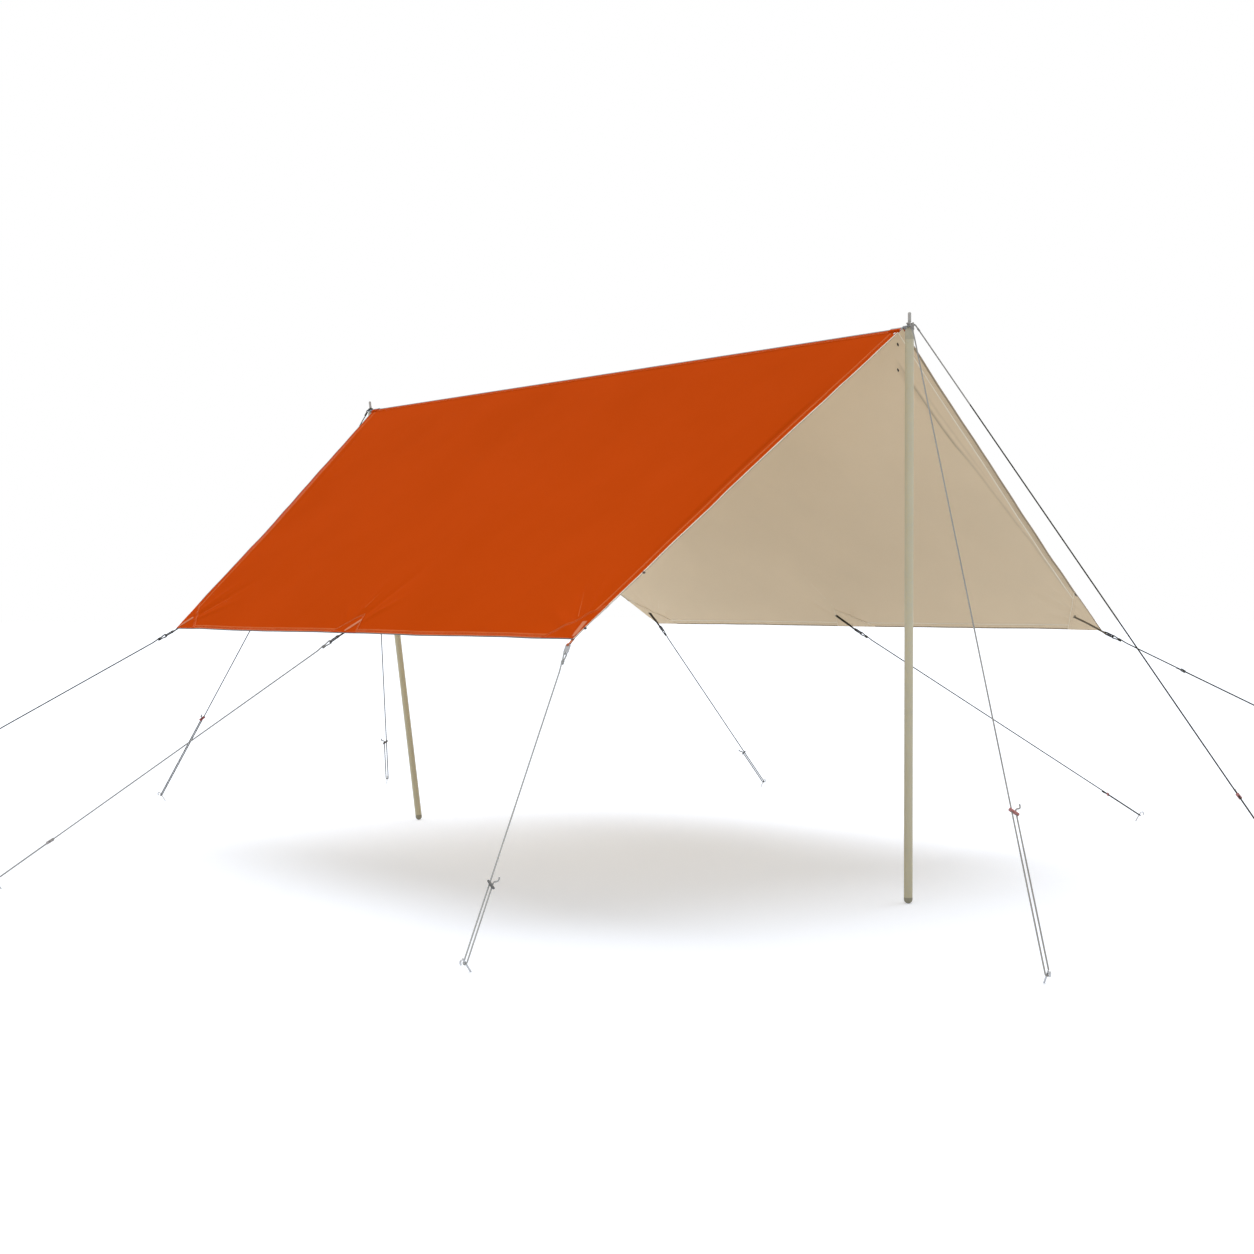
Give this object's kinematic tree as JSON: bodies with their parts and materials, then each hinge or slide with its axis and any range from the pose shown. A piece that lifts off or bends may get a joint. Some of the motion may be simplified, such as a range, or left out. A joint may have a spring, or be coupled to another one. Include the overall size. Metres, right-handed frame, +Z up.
{
  "type": "camping tarp",
  "caption": "Ridge tarp of orange and cream cloth, hung between two upright poles and held out by guy lines with sliders and pegs.",
  "frame": {"origin": "on the ground, below the middle of the ridge", "axes": "+Y along the ridge from its front end to its back end, +Z up, +X towards the cream slope"},
  "size_m": [5.5437, 6.1467, 2.1558],
  "materials": {
    "orange_cloth": "coated polyester, orange outside",
    "cream_cloth": "coated polyester, cream inside",
    "grey_tape": "woven seam tape",
    "grey_tongue": "stiffened webbing",
    "pale_eyelet": "pressed ring",
    "link_metal": "dark coated wire",
    "guy_cord": "braided cord",
    "slider_plastic": "moulded",
    "peg_steel": "drawn steel wire",
    "pole_paint": "satin beige paint on steel tube",
    "pole_cap": "moulded cap and spike",
    "pole_foot": "moulded foot"
  },
  "bodies": {
    "canopy": {"left_panel": "orange_cloth", "right_panel": "cream_cloth", "ridge_tape": "grey_tape", "front_ridge_tab": "grey_tongue", "back_ridge_tab": "grey_tongue", "front_eyelet": "pale_eyelet", "back_eyelet": "pale_eyelet", "left_back_tab": "orange_cloth", "left_middle_tab": "orange_cloth", "left_front_tab": "orange_cloth", "right_back_tab": "cream_cloth", "right_middle_tab": "cream_cloth", "right_front_tab": "cream_cloth", "left_back_link": "link_metal", "left_middle_link": "link_metal", "left_front_link": "link_metal", "right_back_link": "link_metal", "right_middle_link": "link_metal", "right_front_link": "link_metal", "ridge_front_right_guy": "guy_cord", "ridge_front_left_guy": "guy_cord", "ridge_back_left_guy": "guy_cord", "ridge_back_right_guy": "guy_cord", "left_back_guy": "guy_cord", "left_middle_guy": "guy_cord", "left_front_guy": "guy_cord", "right_back_guy": "guy_cord", "right_middle_guy": "guy_cord", "right_front_guy": "guy_cord", "ridge_front_right_peg": "peg_steel", "ridge_front_left_peg": "peg_steel", "ridge_back_left_peg": "peg_steel", "ridge_back_right_peg": "peg_steel", "left_back_peg": "peg_steel", "left_middle_peg": "peg_steel", "left_front_peg": "peg_steel", "right_back_peg": "peg_steel", "right_middle_peg": "peg_steel", "right_front_peg": "peg_steel"},
    "front_pole": {"front_pole_bottom": "pole_paint", "front_pole_middle": "pole_paint", "front_pole_top": "pole_paint", "front_pole_cap": "pole_cap", "front_pole_foot": "pole_foot"},
    "back_pole": {"back_pole_bottom": "pole_paint", "back_pole_middle": "pole_paint", "back_pole_top": "pole_paint", "back_pole_cap": "pole_cap", "back_pole_foot": "pole_foot"},
    "ridge_front_right_slider": {"ridge_front_right_slider": "slider_plastic"},
    "ridge_front_left_slider": {"ridge_front_left_slider": "slider_plastic"},
    "ridge_back_left_slider": {"ridge_back_left_slider": "slider_plastic"},
    "ridge_back_right_slider": {"ridge_back_right_slider": "slider_plastic"},
    "left_back_slider": {"left_back_slider": "slider_plastic"},
    "left_middle_slider": {"left_middle_slider": "slider_plastic"},
    "left_front_slider": {"left_front_slider": "slider_plastic"},
    "right_back_slider": {"right_back_slider": "slider_plastic"},
    "right_middle_slider": {"right_middle_slider": "slider_plastic"},
    "right_front_slider": {"right_front_slider": "slider_plastic"}
  },
  "joints": [
    {"name": "front_pole_swing", "type": "hinge", "parent": "canopy", "child": "front_pole", "pos_m": [0, -1.857, 2.09581], "axis": [1, 0, 0], "range_deg": [0, 10]},
    {"name": "back_pole_swing", "type": "hinge", "parent": "canopy", "child": "back_pole", "pos_m": [0, 1.855, 2.09004], "axis": [-1, 0, 0], "range_deg": [0, 6]},
    {"name": "ridge_front_right_slide", "type": "slide", "parent": "canopy", "child": "ridge_front_right_slider", "axis": [0.2938, -0.4719, -0.8313], "range_m": [0, 0.38]},
    {"name": "ridge_front_left_slide", "type": "slide", "parent": "canopy", "child": "ridge_front_left_slider", "axis": [-0.297, -0.4678, -0.8324], "range_m": [0, 0.42]},
    {"name": "ridge_back_left_slide", "type": "slide", "parent": "canopy", "child": "ridge_back_left_slider", "axis": [-0.2474, 0.4795, -0.8419], "range_m": [0, 0.41]},
    {"name": "ridge_back_right_slide", "type": "slide", "parent": "canopy", "child": "ridge_back_right_slider", "axis": [0.3312, 0.4636, -0.8218], "range_m": [0, 0.18]},
    {"name": "left_back_slide", "type": "slide", "parent": "canopy", "child": "left_back_slider", "axis": [-0.6957, 0.5231, -0.4924], "range_m": [0, 0.35]},
    {"name": "left_middle_slide", "type": "slide", "parent": "canopy", "child": "left_middle_slider", "axis": [-0.6332, 0.5126, -0.5799], "range_m": [0, 0.16]},
    {"name": "left_front_slide", "type": "slide", "parent": "canopy", "child": "left_front_slider", "axis": [-0.4835, -0.1548, -0.8616], "range_m": [0, 0.15]},
    {"name": "right_back_slide", "type": "slide", "parent": "canopy", "child": "right_back_slider", "axis": [0.7278, 0.1741, -0.6634], "range_m": [0, 0.18]},
    {"name": "right_middle_slide", "type": "slide", "parent": "canopy", "child": "right_middle_slider", "axis": [0.749, -0.3979, -0.5297], "range_m": [0, 0.1]},
    {"name": "right_front_slide", "type": "slide", "parent": "canopy", "child": "right_front_slider", "axis": [0.625, -0.6429, -0.4427], "range_m": [0, 1.66]}
  ]
}
